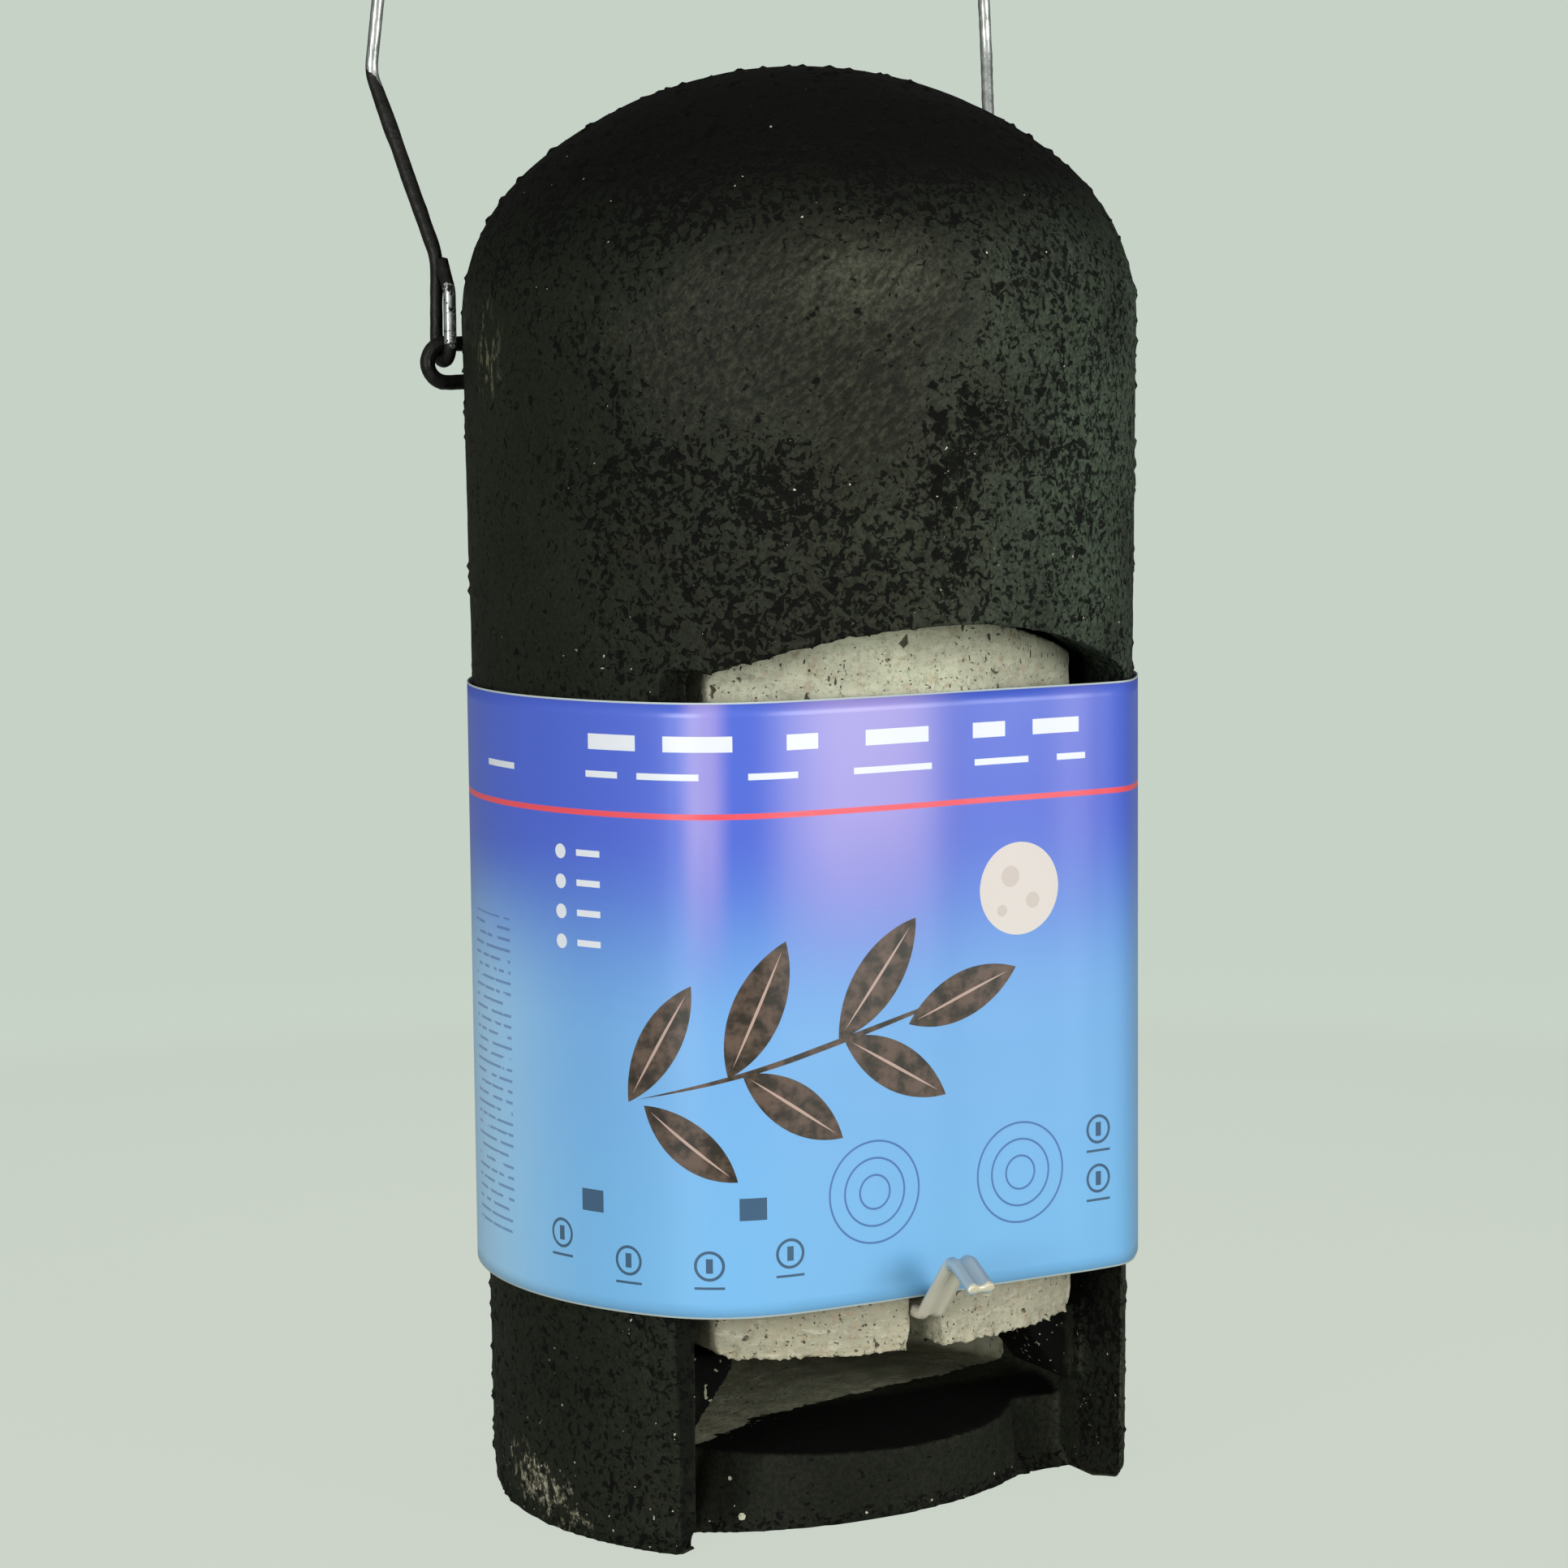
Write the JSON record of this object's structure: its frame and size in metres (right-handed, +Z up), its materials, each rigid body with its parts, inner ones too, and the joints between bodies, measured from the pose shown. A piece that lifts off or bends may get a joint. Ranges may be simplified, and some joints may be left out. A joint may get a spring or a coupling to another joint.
{
  "type": "bat box",
  "caption": "Round cast bat box with a domed top, a lift-out front panel over a low entrance, a paper sleeve and a swinging wire hanger.",
  "frame": {"origin": "middle of the flat base, on the axis of the round body", "axes": "+Z up, -Y out of the front opening, +X to the right seen from the front"},
  "size_m": [0.1766, 0.1706, 0.4505],
  "materials": {
    "painted_casting": "rough wood-concrete under black paint",
    "bare_casting": "unpainted wood-concrete, cream grey with pits",
    "ribbed_strip": "bright, drawn",
    "printed_paper": "satin coated paper, blue fields with a red line",
    "painted_wire": "lumpy black paint",
    "bail_wire": "galvanised wire, black paint on part of it"
  },
  "bodies": {
    "box": {"housing": "painted_casting", "front_panel": "bare_casting", "latch_strip": "ribbed_strip", "paper_band": "printed_paper", "left_eye": "painted_wire", "right_eye": "painted_wire"},
    "hanger": {"bail": "bail_wire"}
  },
  "joints": [
    {"name": "hanger_swing", "type": "hinge", "parent": "box", "child": "hanger", "pos_m": [0, 0.035, 0.28115], "axis": [1, 0, 0], "range_deg": [-112, 8]}
  ]
}
